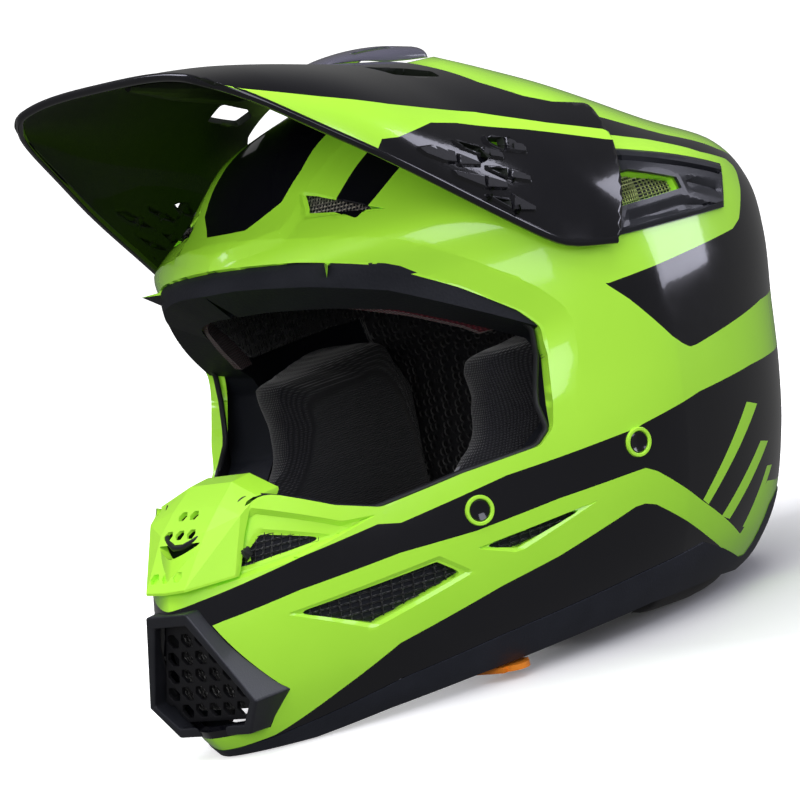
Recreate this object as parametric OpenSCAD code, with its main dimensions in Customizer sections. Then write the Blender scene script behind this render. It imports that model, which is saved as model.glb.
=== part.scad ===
// Full-face off-road helmet: outer shell, energy foam, peak, vents, pads, strap.
// Millimetres. +Z up, the helmet faces -Y, the wearer's left is +X.
// The table it rests on is Z = 0.

/* [Shell] */
// Thickness of the painted outer shell
shell_t = 3.5; // [2.5:0.1:4.5]
// Air gap between the shell and the energy foam
foam_gap = 2.4; // [0.8:0.1:2.5]
// Depth of the foam from the outside of the shell, low on the sides
foam_low = 17; // [14:1:22]
// Depth of the foam from the outside of the shell, at brow and crown
foam_high = 30; // [26:1:34]
// Stand-off of applied trim from the painted surface
trim_gap = 0.3; // [0.2:0.05:0.6]

/* [Peak] */
// Thickness of the moulded peak
peak_t = 3.2; // [2.5:0.1:4]
// Height of the two pivots above the table
pivot_z = 190; // [186:1:194]

/* [Padding] */
// Thickness of the crown comfort liner
liner_t = 9; // [6:1:12]
// Distance of the cheek pads' inner faces from the middle
pad_inner = 54; // [50:1:60]

/* [Smoothness] */
// Points round each level of the shell
around = 44; // [40:4:96]

/* [Hidden] */
// Levels: height, front, back, half width, widest line, nose shape, tail shape
levels = [
  [0, -163, 137, 82, 27, 1.6, 2.4], [10, -171, 151, 94, 27, 1.55, 2.4],
  [30, -178, 163, 108, 27, 1.5, 2.4], [60, -179, 171, 118, 29, 1.45, 2.4],
  [90, -168, 176, 123, 31, 1.45, 2.4], [120, -151, 180, 125, 33, 1.45, 2.4],
  [150, -135, 183, 125, 35, 1.5, 2.5], [175, -123, 181.8, 122, 37, 1.6, 2.5],
  [196, -115, 169, 117, 39, 1.75, 2.25], [212, -90, 139, 99, 39, 1.9, 2.1],
  [228, -73, 110, 81, 39, 2, 2], [240, -57, 89, 63, 38, 2, 2],
  [250, -36, 75, 39, 40, 2, 2.05], [257, -8, 65, 21, 42, 2, 2.1],
  [261.5, 22, 58, 10, 42, 2, 2]];
heights = [0, 12, 30, 50, 70, 90, 110, 130, 150, 168, 184, 196, 208, 219, 230, 240, 249,
           256.5, 261.5];
foam_out = shell_t + foam_gap;

// Side outlines, as [distance back, height]
face_port = [[-230, 50], [-160, 93], [-140, 106], [-122, 94], [-108, 88.5],
  [-75, 93], [-42, 95], [-35, 101], [-27, 131], [-26, 143], [-33, 152],
  [-52, 168], [-76, 185], [-97, 194], [-112, 199], [-230, 206]];
foam_port = [[-230, 42], [-158, 86], [-138, 99.5], [-122, 90], [-108, 85], [-75, 90],
  [-38, 92], [-24, 101], [-18, 131], [-24, 142], [-50, 158], [-75, 174],
  [-97, 183], [-112, 188], [-230, 196]];
seam_line = [[-260, 2], [-170, 3], [-156, 5], [-111, 15.5], [-68, 21], [-2, 27],
  [42, 30], [260, 31]];
hem_line = [[260, 9], [90, 11], [13, 11], [-28, 9], [-79, 6], [-113, 3.5],
  [-140, 0], [-260, 0]];
peak_side = [[-143.5, 300], [-143.5, 280.5], [-139.5, 276], [-20, 180.5],
  [-12, 174], [10, 170.5], [35.5, 211], [42, 228], [25, 232.5], [15, 238],
  [5, 248], [1.5, 260], [0, 300]];
vent_panel = [[38.5, 207.5], [105, 186.5], [91, 168.5], [14, 171.5]];
vent_window = [[29, 198], [61, 187.5], [62, 182.5], [22.5, 183]];
chin_vents = [[[-157, 78], [-145, 89.5], [-127, 82]],
  [[-146, 55], [-93, 60], [-84, 52.5], [-121, 42.5]],
  [[-75, 60.5], [-22, 65], [-60, 56]]];
brow_vent = [[33, 219.5], [66, 207], [36.5, 212]];
cheek_side = [[-31, 143], [-40, 104], [-78, 84], [-82, 34], [-62, 18], [36, 18],
  [60, 40], [60, 118], [46, 143]];
mouth_out = [[-12, 66], [12, 66], [32.5, 25], [21.5, 10.5], [-21.5, 10.5], [-32.5, 25]];
mouth_in = [[-9.6, 60.6], [9.6, 60.6], [29, 25.7], [19.5, 14.8], [-19.5, 14.8], [-29, 25.7]];

// Sections of the peak: distance back, top, half width, base, squareness
peak_levels = [[-150, 286, 66, 264, 3.2], [-143, 285.5, 67, 262, 3.2],
  [-128, 285, 73, 254, 3], [-110, 283.5, 80, 245, 2.8], [-80, 279.5, 93.5, 222, 2.5],
  [-44, 274, 105.5, 190, 2.25], [-20, 270.5, 114, 170, 2.15],
  [11, 266.5, 127, 158, 2.05], [45, 264.5, 131, 155, 2.05], [80, 258, 131, 150, 2.05]];

function sgn(v) = v < 0 ? -1 : 1;
function at_most(v, a, b) = min(b, max(a, v));

// One level at any height, eased between the listed ones
function level(z) =
  let (k = max([for (i = [0 : len(levels) - 2]) if (levels[i][0] <= z) i]),
       a = levels[k], b = levels[k + 1], h = b[0] - a[0], t = (z - a[0]) / h,
       p = levels[max(0, k - 1)], q = levels[min(len(levels) - 1, k + 2)],
       ma = (b - p) / (b[0] - p[0]) * h, mb = (q - a) / (q[0] - a[0]) * h)
  a * (2 * t ^ 3 - 3 * t ^ 2 + 1) + ma * (t ^ 3 - 2 * t ^ 2 + t)
  + b * (3 * t ^ 2 - 2 * t ^ 3) + mb * (t ^ 3 - t ^ 2);

// A closed outline at one height, set inwards by the depth d
function outline(z, d, n, j = 0) =
  let (L = level(z), f = max(0, (z - 120) / 137), e = d * (1 - 0.75 * f),
       yf = L[1] + e, yr = L[2] - e, hw = L[3] - e, yc = L[4])
  [for (i = [0 : n - 1]) let (a = 360 * (i + (j % 2) / 2) / n, c = cos(a), s = sin(a),
     m = c > 0 ? 2 / L[5] : 2 / L[6])
   [hw * sgn(s) * abs(s) ^ m,
    c > 0 ? yc - (yc - yf) * c ^ m : yc + (yr - yc) * abs(c) ^ m,
    z - d * f]];

function depth(z, lo, hi) = lo + (hi - lo) * at_most((z - 12) / 80, 0, 1);
function levels_from(z0, step) = concat([z0],
  [for (i = [0 : step : len(heights) - 1]) if (heights[i] > z0 + 3) heights[i]]);
function skin(o, m, n, out) = [for (j = [0 : m - 2], i = [0 : n - 1])
  let (k = (i + 1) % n, a = o + j * n + i, b = o + j * n + k,
       t = j % 2 == 0 ? [[a, a + n, b], [b, a + n, b + n]]
         : [[a, a + n, b + n], [a, b + n, b]])
  each (out ? t : [for (f = t) [f[0], f[2], f[1]]])];
function rings(zs, lo, hi, n) =
  [for (j = [0 : len(zs) - 1]) each outline(zs[j], depth(zs[j], lo, hi), n, j)];

// Closed dome set inwards by the depth, from the height z0 to the crown
module dome(lo, hi, z0, n = around, step = 1) {
  zs = levels_from(z0, step);
  m = len(zs);
  polyhedron(rings(zs, lo, hi, n),
    concat(skin(0, m, n, true), [[for (i = [0 : n - 1]) i]],
    [[for (i = [n - 1 : -1 : 0]) (m - 1) * n + i]]));
}

// The wall between an outer depth and an inner one, open at the bottom
module wall(o1, lo, hi, z0, n = around, step = 1) {
  zs = levels_from(z0, step);
  m = len(zs);
  q = m * n;
  polyhedron(concat(rings(zs, o1, o1, n), rings(zs, lo, hi, n)),
    concat(skin(0, m, n, true), skin(q, m, n, false),
      [[for (i = [n - 1 : -1 : 0]) q - n + i]], [[for (i = [0 : n - 1]) 2 * q - n + i]],
      [for (i = [0 : n - 1]) let (k = (i + 1) % n) each [[i, k, q + i], [k, q + k, q + i]]]));
}

// Corner rounding for an outline
function rounded(p, r) = let (n = len(p)) [for (i = [0 : n - 1])
  let (a = p[(i + n - 1) % n], b = p[i], c = p[(i + 1) % n],
       u = (a - b) / norm(a - b), v = (c - b) / norm(c - b),
       h = acos(at_most(u * v, -1, 1)) / 2,
       d = min(r / tan(h), norm(a - b) * 0.45, norm(c - b) * 0.45))
  each [for (t = [0, 0.33, 0.67, 1]) let (s = b + u * d, e = b + v * d)
    s * (1 - t) ^ 2 + b * 2 * t * (1 - t) + e * t ^ 2]];

// Side outline pushed across the helmet, or across one side only
module across(p, x0 = -160, x1 = 160)
  translate([x0, 0, 0]) rotate([90, 0, 90]) linear_extrude(x1 - x0) polygon(p);
// Front outline pushed back from y0 to y1
module along(p, y0, y1)
  translate([0, y1, 0]) rotate([90, 0, 0]) linear_extrude(y1 - y0) polygon(p);
module both() { children(); mirror([1, 0, 0]) children(); }
// Stand something on a skewed axis
module aim(p, d) translate(p) rotate([0, acos(d[2] / norm(d)), atan2(d[1], d[0])])
  children();

// ---- painted shell --------------------------------------------------------
ring_front = [87, -73, 76];
ring_front_dir = [0.74, -0.66, 0.14];
ring_rear = [117.5, 2, 84];
ring_rear_dir = [0.985, -0.17, 0.05];

module outer_shell() color([0.62, 0.95, 0.1])
  difference() {
    resize([0, 0, 0]) difference() {
      wall(0, shell_t, shell_t, 0);
      across(rounded(face_port, 7));
      across(concat([[-260, -20]], seam_line, [[260, -20]]));
      both() for (v = chin_vents) across(rounded(v, 1.5), 12, 160);
      both() across(vent_window, 90, 160);
      both() along(brow_vent, -130, -40);
      along(mouth_in, -260, -120);
      for (z = [128, 142, 156]) both()
        along([[8, z], [34, z - 3], [34, z + 3], [8, z + 6]], 120, 200);
    }
    both() aim(ring_front, ring_front_dir) cylinder(r = 6.5, h = 20, center = true, $fn = 48);
    both() aim(ring_rear, ring_rear_dir) cylinder(r = 6.5, h = 20, center = true, $fn = 48);
    both() translate([100, 0, pivot_z]) rotate([0, 90, 0])
      cylinder(r = 3.1, h = 30, $fn = 48);
  }

// ---- energy foam ----------------------------------------------------------
module energy_liner() color([0.12, 0.13, 0.16])
  resize([0, 0, 0]) difference() {
    wall(foam_out, foam_low, foam_high, 10, 36, 2);
    across(rounded(foam_port, 5));
    across(concat([[-260, -20]], [for (p = seam_line) p + [0, 3]], [[260, -20]]));
    along([for (p = mouth_in) p * 1.12 + [0, -4]], -260, -120);
    for (x = [-24.3, 24.3])
      along([[x - 3, 172], [x + 3, 172], [x + 3, 178], [x - 3, 178]], -160, -40);
  }

// ---- edge trims -----------------------------------------------------------
module port_trim() color([0.05, 0.05, 0.06])
  resize([0, 0, 0]) intersection() {
    wall(0.2, 5, 5, 61.3, 36, 2);
    translate([-160, 0, 0]) rotate([90, 0, 90]) linear_extrude(320) difference() {
      polygon(rounded(face_port, 7));
      polygon(rounded([for (i = [0 : len(face_port) - 1]) face_port[i]
        + [i > 5 && i < 11 ? -1.8 : 0, i < 8 ? 1.8 : -1.8]], 7));
      translate([-260, 60]) square([128, 70]);
    }
  }
module lower_trim() color([0.08, 0.09, 0.11])
  resize([0, 0, 0]) intersection() {
    wall(-0.6, 5.2, 5.2, 0);
    across(concat([for (p = seam_line) p - [0, trim_gap]], hem_line));
  }
module neck_roll() color([0.06, 0.06, 0.07])
  resize([0, 0, 0]) difference() {
    intersection() {
      wall(6, 21, 21, 0);
      translate([-200, 30, 0]) cube([400, 200, 13]);
    }
    translate([-200, -100, -1]) cube([400, 160, 1]);
  }

// ---- soft lining ----------------------------------------------------------
module crown_liner() color([0.05, 0.05, 0.06])
  resize([0, 0, 0]) difference() {
    wall(foam_high + 0.8, foam_high + liner_t, foam_high + liner_t, 60, 30, 2);
    across([[-260, -20], [74, -20], [74, 150], [-22, 150], [-34, 160], [-60, 176],
      [-95, 192], [-260, 200]]);
  }
module headband() color([0.4, 0, 0.06])
  resize([0, 0, 0]) intersection() {
    wall(foam_high + 0.8, foam_high + 5, foam_high + 5, 90, 30, 2);
    across([[-21, 149.2], [-33, 159], [-59, 175], [-94, 191], [-120, 191.8],
      [-120, 188], [-96, 180], [-60, 162], [-40, 150], [-34, 145.5], [-20, 145.5]]);
  }

// ---- nose guard -----------------------------------------------------------
module nose_guard() color([0.62, 0.95, 0.1]) difference() {
  resize([0, 0, 0]) difference() {
    hull() for (p = [[0, -176.3, 74.5], [11, -176, 75], [13, -158.5, 95],
        [13, -147.5, 103.5], [12, -136, 111], [12, -126, 112], [26, -160, 76],
        [27, -150, 99], [29, -140, 104.5], [29, -128, 105], [24, -150, 75]])
      both() translate(p) cube([1.5, 1.2, 1], center = true);
    difference() {
      dome(-trim_gap, -trim_gap, 31.3);
      translate([-160, 0, 0]) rotate([90, 0, 90]) linear_extrude(320)
        offset(delta = -trim_gap) polygon(rounded(face_port, 7));
    }
  }
  for (r = [0 : 3], c = [-1 : 1]) if (!(r == 3 && c == 1))
    translate([c * 7 + (r % 2) * 3 - 2, -172.4 + r * 7.2, 80.4 + r * 7])
      rotate([45, 0, 0]) cylinder(r = 2.7, h = 4.4, center = true, $fn = 6);
}

// ---- mouth vent -----------------------------------------------------------
module slanted(y) multmatrix([[1, 0, 0, 0], [0, 1, -0.2, y], [0, 0, 1, 0], [0, 0, 0, 1]])
  children();
module mouth_frame() color([0.1, 0.1, 0.12])
  resize([0, 0, 0]) difference() {
    intersection() {
      hull() {
        slanted(-165) along(mouth_out, -2, 0);
        slanted(-153) along([for (p = mouth_out) [p[0] * 1.05, 36 + (p[1] - 36) * 1.04]],
          12, 14);
      }
      slanted(-165) translate([0, 40, 0]) rotate([90, 0, 0]) linear_extrude(50)
        difference() {
          polygon([[-60, 3.1], [60, 3.1], [60, 80], [-60, 80]]);
          polygon(mouth_in);
        }
    }
    dome(-trim_gap, -trim_gap, 0);
  }
module mouth_grille() color([0.09, 0.09, 0.1])
  slanted(-159) rotate([90, 0, 0]) linear_extrude(2) difference() {
    polygon([for (p = mouth_in) [p[0] * 0.95, 37 + (p[1] - 37) * 0.95]]);
    for (r = [0 : 4], c = [-3 : 3]) let (x = c * 8.4 + (r % 2) * 4.2, z = 21 + r * 8)
      if (abs(x) < 27 - (z - 18) * 0.5) translate([x, z]) circle(r = 3.5, $fn = 6);
  }
module mouth_filter() color([0.04, 0.04, 0.05])
  slanted(-150) rotate([90, 0, 0]) linear_extrude(5)
    polygon([for (p = mouth_in) [p[0] * 0.82, 37 + (p[1] - 37) * 0.84]]);

// ---- meshes and side vents ------------------------------------------------
module mesh_layer() { wall(shell_t + 0.4, shell_t + 1.4, shell_t + 1.4, 30); }
module brow_mesh() color([0.55, 0.52, 0.45]) resize([0, 0, 0]) intersection() {
  mesh_layer();
  along([[29, 223], [70, 208], [69, 204.5], [33, 208.5]], -130, -40);
}
module side_vent_mesh() color([0.6, 0.65, 0.3]) resize([0, 0, 0]) intersection() {
  mesh_layer();
  across([[19, 201], [65, 190], [66, 179], [17, 179.5]], 80, 160);
}
module chin_mesh() color([0.08, 0.08, 0.09]) resize([0, 0, 0]) intersection() {
  mesh_layer();
  union() {
    across([[-160, 75.5], [-146, 92.5], [-122, 81]], 12, 160);
    across([[-150, 55], [-92, 63.5], [-78, 52], [-123, 39]], 12, 160);
    across([[-78, 57], [-78, 64], [-16, 68], [-60, 53]], 12, 160);
  }
}
module side_vent_frame() color([0.08, 0.09, 0.11]) resize([0, 0, 0]) intersection() {
  wall(-4, -trim_gap, -trim_gap, 121.3);
  translate([61, 0, 0]) rotate([90, 0, 90]) linear_extrude(99) difference() {
    polygon(vent_panel);
    polygon(vent_window);
  }
}
module rear_vent() color([0.08, 0.09, 0.11]) resize([0, 0, 0]) intersection() {
  wall(-1.6, -trim_gap, -trim_gap, 85);
  translate([0, 220, 0]) rotate([90, 0, 0]) linear_extrude(98) difference() {
    polygon([[-42, 118], [42, 118], [36, 170], [-36, 170]]);
    for (z = [128, 142, 156], s = [-1, 1])
      polygon([[s * 8, z], [s * 34, z - 3], [s * 34, z + 3], [s * 8, z + 6]]);
  }
}

// ---- ring bosses ----------------------------------------------------------
module four_bosses() both() {
  aim(ring_front, ring_front_dir) children();
  aim(ring_rear, ring_rear_dir) children();
}
module boss_rings() color([0.62, 0.95, 0.1]) four_bosses() difference() {
  translate([0, 0, -2.2]) cylinder(r = 6.3, h = 3.4, $fn = 48);
  translate([0, 0, -4]) cylinder(r = 4.7, h = 8, $fn = 48);
}
module boss_caps() color([0.05, 0.05, 0.06]) four_bosses() difference() {
  translate([0, 0, -2.2]) cylinder(r = 4.6, h = 2.6, $fn = 48);
  translate([0, 0, 9.4]) sphere(r = 10, $fn = 48);
}

// ---- chin strap -----------------------------------------------------------
module band_of(p, w, t) translate([0, w / 2, 0]) rotate([90, 0, 0]) linear_extrude(w)
  polygon(concat(p, [for (i = [len(p) - 1 : -1 : 0]) p[i] + [0, t]]));
module strap_left() color([0.06, 0.06, 0.07]) translate([0, 2, 0]) difference() {
  union() {
    band_of([[77, 12.2], [66, 7.6], [52, 5.6], [36, 5.2]], 24, 2);
    translate([36, 12, 6.4]) rotate([90, 0, 0]) cylinder(r = 3.6, h = 24, $fn = 40);
  }
  translate([36, 13, 6.4]) rotate([90, 0, 0]) cylinder(r = 1.9, h = 26, $fn = 40);
}
module strap_right() color([0.06, 0.06, 0.07]) translate([0, 2, 0])
  band_of([[-2, 5.4], [-10, 5.2], [-36, 5.2], [-52, 5.6], [-66, 7.6], [-77, 12.2]], 24, -2);
module strap_snap() color([0.5, 0.02, 0.08]) translate([-12, 2, 5.5]) {
  cylinder(r = 7.5, h = 2.2, $fn = 40);
  translate([0, 0, 2.2]) cylinder(r = 3.2, h = 1.4, $fn = 40);
}
module d_rings() color([0.7, 0.7, 0.72]) translate([36, 2, 6.4]) {
  for (s = [0, 1]) rotate([0, s * 9, 0]) {
    if (s == 0) translate([0, 13.6, 0]) rotate([90, 0, 0])
      cylinder(r = 1.6, h = 27.2, $fn = 32);
    for (y = [-13.6 + s * 0, 13.6]) translate([s * -2.4, y, 0]) rotate([0, -90, 0])
      cylinder(r = 1.6, h = 10 - s * 1.2, $fn = 32);
    translate([-10 - s * 1.2, 0, 0]) rotate([0, 0, 90]) rotate_extrude(angle = 180, $fn = 48)
      translate([13.6, 0]) circle(r = 1.6, $fn = 20);
  }
}

// ---- peak -----------------------------------------------------------------
module peak_body(t, k = 12) {
  n = 2 * k + 1;
  m = len(peak_levels);
  pts = [for (L = peak_levels) each concat(
    [for (i = [-k : k]) let (a = 90 * i / k, e = 2 / L[4])
      [(L[2] - t) * sgn(a) * abs(sin(a)) ^ e, L[0],
       L[3] + (L[1] - t - L[3]) * cos(a) ^ e]])];
  polyhedron(pts, concat(
    [for (j = [0 : m - 2], i = [0 : n - 2])
      each [[j * n + i, (j + 1) * n + i, (j + 1) * n + i + 1],
            [j * n + i, (j + 1) * n + i + 1, j * n + i + 1]]],
    [for (j = [0 : m - 2]) each [[j * n, (j + 1) * n + n - 1, (j + 1) * n],
            [j * n, j * n + n - 1, (j + 1) * n + n - 1]]],
    [[for (i = [0 : n - 1]) i]],
    [[for (i = [n - 1 : -1 : 0]) (m - 1) * n + i]]));
}
// A curved skin of even thickness, open below
function arch(L, t, k) = [for (i = [-k : k]) let (a = 90 * i / k, e = 2 / L[4])
  [(L[2] - t) * sgn(a) * abs(sin(a)) ^ e, L[0], L[3] + (L[1] - t - L[3]) * cos(a) ^ e]];
module peak_skin(levels, t, k = 12) {
  n = 2 * k + 1;
  m = len(levels);
  w = 2 * n;
  polyhedron([for (L = levels) each concat(arch(L, 0, k), arch(L, t, k))], concat(
    [for (j = [0 : m - 2], i = [0 : n - 2]) let (a = j * w + i)
      each [[a, a + w, a + w + 1], [a, a + w + 1, a + 1],
            [a + n, a + n + w + 1, a + n + w], [a + n, a + n + 1, a + n + w + 1]]],
    [for (j = [0 : m - 2], i = [0, n - 1]) let (a = j * w + i, b = a + n)
      each (i > 0 ? [[a, a + w, b + w], [a, b + w, b]] : [[a, b + w, a + w], [a, b, b + w]])],
    [for (i = [0 : n - 2], q = [0, (m - 1) * w]) let (a = q + i, b = a + n)
      each (q > 0 ? [[a, b, b + 1], [a, b + 1, a + 1]] : [[a, b + 1, b], [a, a + 1, b + 1]])]));
}
module peak_slot(y, z, l, h) across([[y, z], [y + l * 0.35, z - h], [y + l, z - h * 0.75],
  [y + l * 0.8, z + h * 0.55]], 84, 160);
module peak() color([0.04, 0.04, 0.05]) difference() {
  resize([0, 0, 0]) intersection() {
    peak_skin(peak_levels, peak_t);
    across(rounded(peak_side, 3));
  }
  both() for (v = [[-73.2, 229], [-57.3, 232.4], [-57.6, 219], [-41.7, 222.4],
    [-41.3, 208.8], [-25.6, 212.1], [-26.2, 199.4]]) peak_slot(v[0], v[1], 14.3, 3);
  both() translate([0, 0, 230]) linear_extrude(60)
    polygon([[44, -34], [59, -31], [64, -8], [57, -5], [50, -14]]);
  translate([0, 0, 230]) linear_extrude(60) polygon([[-9, -6], [9, -6], [13, 11], [-13, 11]]);
  both() translate([112, 0, pivot_z]) rotate([0, 90, 0]) cylinder(r = 4.05, h = 4.2, $fn = 48);
}
module pivot_studs() color([0.5, 0.5, 0.52]) both() translate([0, 0, pivot_z]) {
  translate([110.4, 0, 0]) rotate([0, 90, 0]) cylinder(r = 3, h = 4, $fn = 48);
  translate([114.1, 0, 0]) rotate([0, 90, 0]) cylinder(r = 4, h = 1.8, $fn = 48);
}
scoop_levels = [[-20, 271.6, 7, 270.8, 2], [-12, 272.9, 11, 269.6, 2.1],
  [0, 273.6, 15, 267.9, 2.2], [10, 273.5, 18.5, 265.2, 2.3], [20, 272.5, 21, 263.6, 2.4],
  [32, 270, 23, 262.4, 2.4]];
module peak_scoop() color([0.35, 0.35, 0.4]) difference() {
  resize([0, 0, 0]) peak_skin(scoop_levels, 0.9, 8);
  both() translate([0, 0, 262]) linear_extrude(20)
    polygon([[9, -2], [12, -2], [16, 20], [12.5, 20]]);
}
module peak_duct() color([0.04, 0.05, 0.04]) resize([0, 0, 0]) intersection() {
  difference() {
    hull() for (s = [[-127.3, 3, 279.7], [-100, 10, 271], [-70, 13, 264], [-52, 15, 263]])
      translate([0, s[0], s[2] + 6]) rotate([90, 0, 0]) scale([s[1] / 6, 1, 1])
        cylinder(r = 6, h = 1, $fn = 16);
    hull() for (s = [[-96, 7, 274], [-70, 10, 266.5], [-45, 12, 265]])
      translate([0, s[0], s[2] + 6]) rotate([90, 0, 0]) scale([s[1] / 6, 1, 1])
        cylinder(r = 6, h = 1, $fn = 16);
  }
  peak_body(peak_t + 0.2);
}
module peak_strut() color([0.04, 0.04, 0.05]) resize([0, 0, 0]) intersection() {
  union() {
    translate([-9, -42, 259.5]) cube([18, 9, 3]);
    both() translate([4, -41, 259.5]) cube([4, 7, 20]);
  }
  peak_body(peak_t + 0.2);
}

// ---- cheek pads -----------------------------------------------------------
module cheek_pad() color([0.12, 0.12, 0.13]) resize([0, 0, 0]) intersection() {
  across(rounded(cheek_side, 9), pad_inner, 130);
  dome(foam_low + 3.2, foam_high + 3.2, 10);
}
module release_tab() color([0.9, 0.4, 0.05]) {
  translate([59, -66, 3.4]) cube([14, 17, 2.4]);
  translate([73, -57.5, 3.4]) cylinder(r = 6, h = 2.4, $fn = 40);
  translate([57, -66, 3.4]) cube([2.4, 17, 14.3]);
}

outer_shell();
energy_liner();
port_trim();
lower_trim();
neck_roll();
crown_liner();
headband();
nose_guard();
mouth_frame();
mouth_grille();
mouth_filter();
brow_mesh();  // brow_mesh_left
mirror([1, 0, 0]) brow_mesh();  // brow_mesh_right
side_vent_frame();  // side_vent_frame_left
mirror([1, 0, 0]) side_vent_frame();  // side_vent_frame_right
side_vent_mesh();  // side_vent_mesh_left
mirror([1, 0, 0]) side_vent_mesh();  // side_vent_mesh_right
chin_mesh();  // chin_mesh_left
mirror([1, 0, 0]) chin_mesh();  // chin_mesh_right
boss_rings();
boss_caps();
rear_vent();
strap_left();
strap_right();
strap_snap();
d_rings();
pivot_studs();
peak();
peak_scoop();
peak_duct();
peak_strut();
cheek_pad();  // cheek_pad_left
mirror([1, 0, 0]) cheek_pad();  // cheek_pad_right
release_tab();  // release_tab_left
mirror([1, 0, 0]) release_tab();  // release_tab_right
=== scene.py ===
"""Looks for the off-road helmet: paint, peak, vents, linings, pads, straps, light and camera.

Lengths in the tables are millimetres in the part's frame: +Z up, the helmet faces -Y and
the wearer's left is +X. They become metres when a mesh is made.
"""
import math
import bpy
import bmesh
from mathutils import Matrix, Vector
from mathutils.geometry import intersect_point_line


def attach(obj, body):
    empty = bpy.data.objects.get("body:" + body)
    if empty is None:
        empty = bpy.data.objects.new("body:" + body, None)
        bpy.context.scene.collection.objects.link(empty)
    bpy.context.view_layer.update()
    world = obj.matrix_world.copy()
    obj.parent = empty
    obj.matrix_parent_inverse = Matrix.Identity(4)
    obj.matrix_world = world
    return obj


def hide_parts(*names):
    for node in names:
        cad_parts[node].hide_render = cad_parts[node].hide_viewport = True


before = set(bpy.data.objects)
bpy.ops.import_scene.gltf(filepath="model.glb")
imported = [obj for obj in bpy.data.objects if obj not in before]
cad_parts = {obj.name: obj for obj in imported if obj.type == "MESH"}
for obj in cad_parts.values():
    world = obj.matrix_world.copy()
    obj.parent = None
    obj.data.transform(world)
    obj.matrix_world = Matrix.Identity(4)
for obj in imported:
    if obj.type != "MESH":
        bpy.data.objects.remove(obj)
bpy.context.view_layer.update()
MM = 0.001

# ---- Camera, light and floor ----
CAMERA_RIGHT = Vector((0.71626, 0.65754, -0.23369))
CAMERA_UP = Vector((0.09846, 0.23630, 0.96668))
CAMERA_BACK = Vector((0.69085, -0.71540, 0.10451))
CAMERA_TARGET = Vector((0, -0.013, 0.1181))
CAMERA_DISTANCE = 1.73333


def make_camera():
    data = bpy.data.cameras.new("camera")
    data.lens = 175.5
    data.sensor_width = 36
    data.clip_end = 100
    cam = bpy.data.objects.new("camera", data)
    bpy.context.collection.objects.link(cam)
    place = CAMERA_TARGET + CAMERA_BACK * CAMERA_DISTANCE
    cam.matrix_world = Matrix([(CAMERA_RIGHT[i], CAMERA_UP[i], CAMERA_BACK[i], place[i])
                               for i in range(3)] + [(0, 0, 0, 1)])
    bpy.context.scene.camera = cam


def area_light(name, place, target, size, power, colour=(1, 1, 1), glossy=True):
    data = bpy.data.lights.new(name, "AREA")
    data.shape = "RECTANGLE"
    data.size, data.size_y = size
    data.energy = power
    data.color = colour
    lamp = bpy.data.objects.new(name, data)
    bpy.context.collection.objects.link(lamp)
    lamp.location = place
    lamp.rotation_euler = (Vector(target) - Vector(place)).to_track_quat("-Z", "Y").to_euler()
    lamp.visible_glossy = glossy


def make_studio():
    scene = bpy.context.scene
    scene.view_settings.view_transform = "Standard"
    world = bpy.data.worlds.new("studio")
    scene.world = world
    world.use_nodes = True
    world.node_tree.nodes["Background"].inputs[0].default_value = (1, 1, 1, 1)
    world.node_tree.nodes["Background"].inputs[1].default_value = 0.12
    studio_sweep()
    middle = (0, 0, 0.14)
    lavender = (0.84, 0.84, 1.0)
    area_light("fill_top", (0.2, -0.2, 2.2), middle, (2.5, 2.5), 52, glossy=False)
    area_light("fill_front", (1.0, -2.2, 1.0), middle, (2.0, 1.5), 33, glossy=False)
    area_light("box_left", (1.7, -0.35, 0.9), middle, (0.9, 1.3), 9, lavender)
    area_light("box_rear", (1.15, 1.25, 0.55), middle, (0.7, 1.0), 8, lavender)
    area_light("box_over", (-0.7, -0.5, 1.6), middle, (0.5, 0.8), 5, lavender)


def studio_sweep():
    """Pale floor that curves up into a wall all round. It doesn't light the helmet."""
    profile = [(0.0, 0.0), (3.2, 0.0)]
    profile += [(3.2 + 1.6 * math.sin(a), 1.6 - 1.6 * math.cos(a))
                for a in (math.radians(10 * k) for k in range(1, 9))] + [(4.9, 5.0)]
    steps = 64
    bm = bmesh.new()
    centre = bm.verts.new((0, 0, 0))
    rings = [[bm.verts.new((r * math.cos(2 * math.pi * k / steps),
                            r * math.sin(2 * math.pi * k / steps), z))
              for k in range(steps)] for r, z in profile[1:]]
    for k in range(steps):
        n = (k + 1) % steps
        bm.faces.new((centre, rings[0][k], rings[0][n]))
        for low, high in zip(rings, rings[1:]):
            bm.faces.new((low[k], high[k], high[n], low[n]))
    mesh = bpy.data.meshes.new("floor")
    bm.to_mesh(mesh)
    bm.free()
    mesh.polygons.foreach_set("use_smooth", [True] * len(mesh.polygons))
    mesh.materials.append(floor_material())
    floor = bpy.data.objects.new("floor", mesh)
    bpy.context.collection.objects.link(floor)
    floor.location.z = -0.0007
    floor.visible_glossy = False
    floor.visible_diffuse = False
    return floor


# ---- Materials ----
def new_material(name, colour, rough, metal=0.0, coat=0.0, sheen=0.0):
    mat = bpy.data.materials.new(name)
    mat.use_nodes = True
    shader = mat.node_tree.nodes["Principled BSDF"]
    shader.inputs["Base Color"].default_value = (*colour, 1)
    shader.inputs["Roughness"].default_value = rough
    shader.inputs["Metallic"].default_value = metal
    shader.inputs["Coat Weight"].default_value = coat
    shader.inputs["Coat Roughness"].default_value = 0.04
    shader.inputs["Sheen Weight"].default_value = sheen
    return mat, mat.node_tree, shader


def node(tree, kind, **values):
    made = tree.nodes.new(kind)
    for key, value in values.items():
        if key in made.inputs.keys():
            made.inputs[key].default_value = value
        else:
            setattr(made, key, value)
    return made


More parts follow.
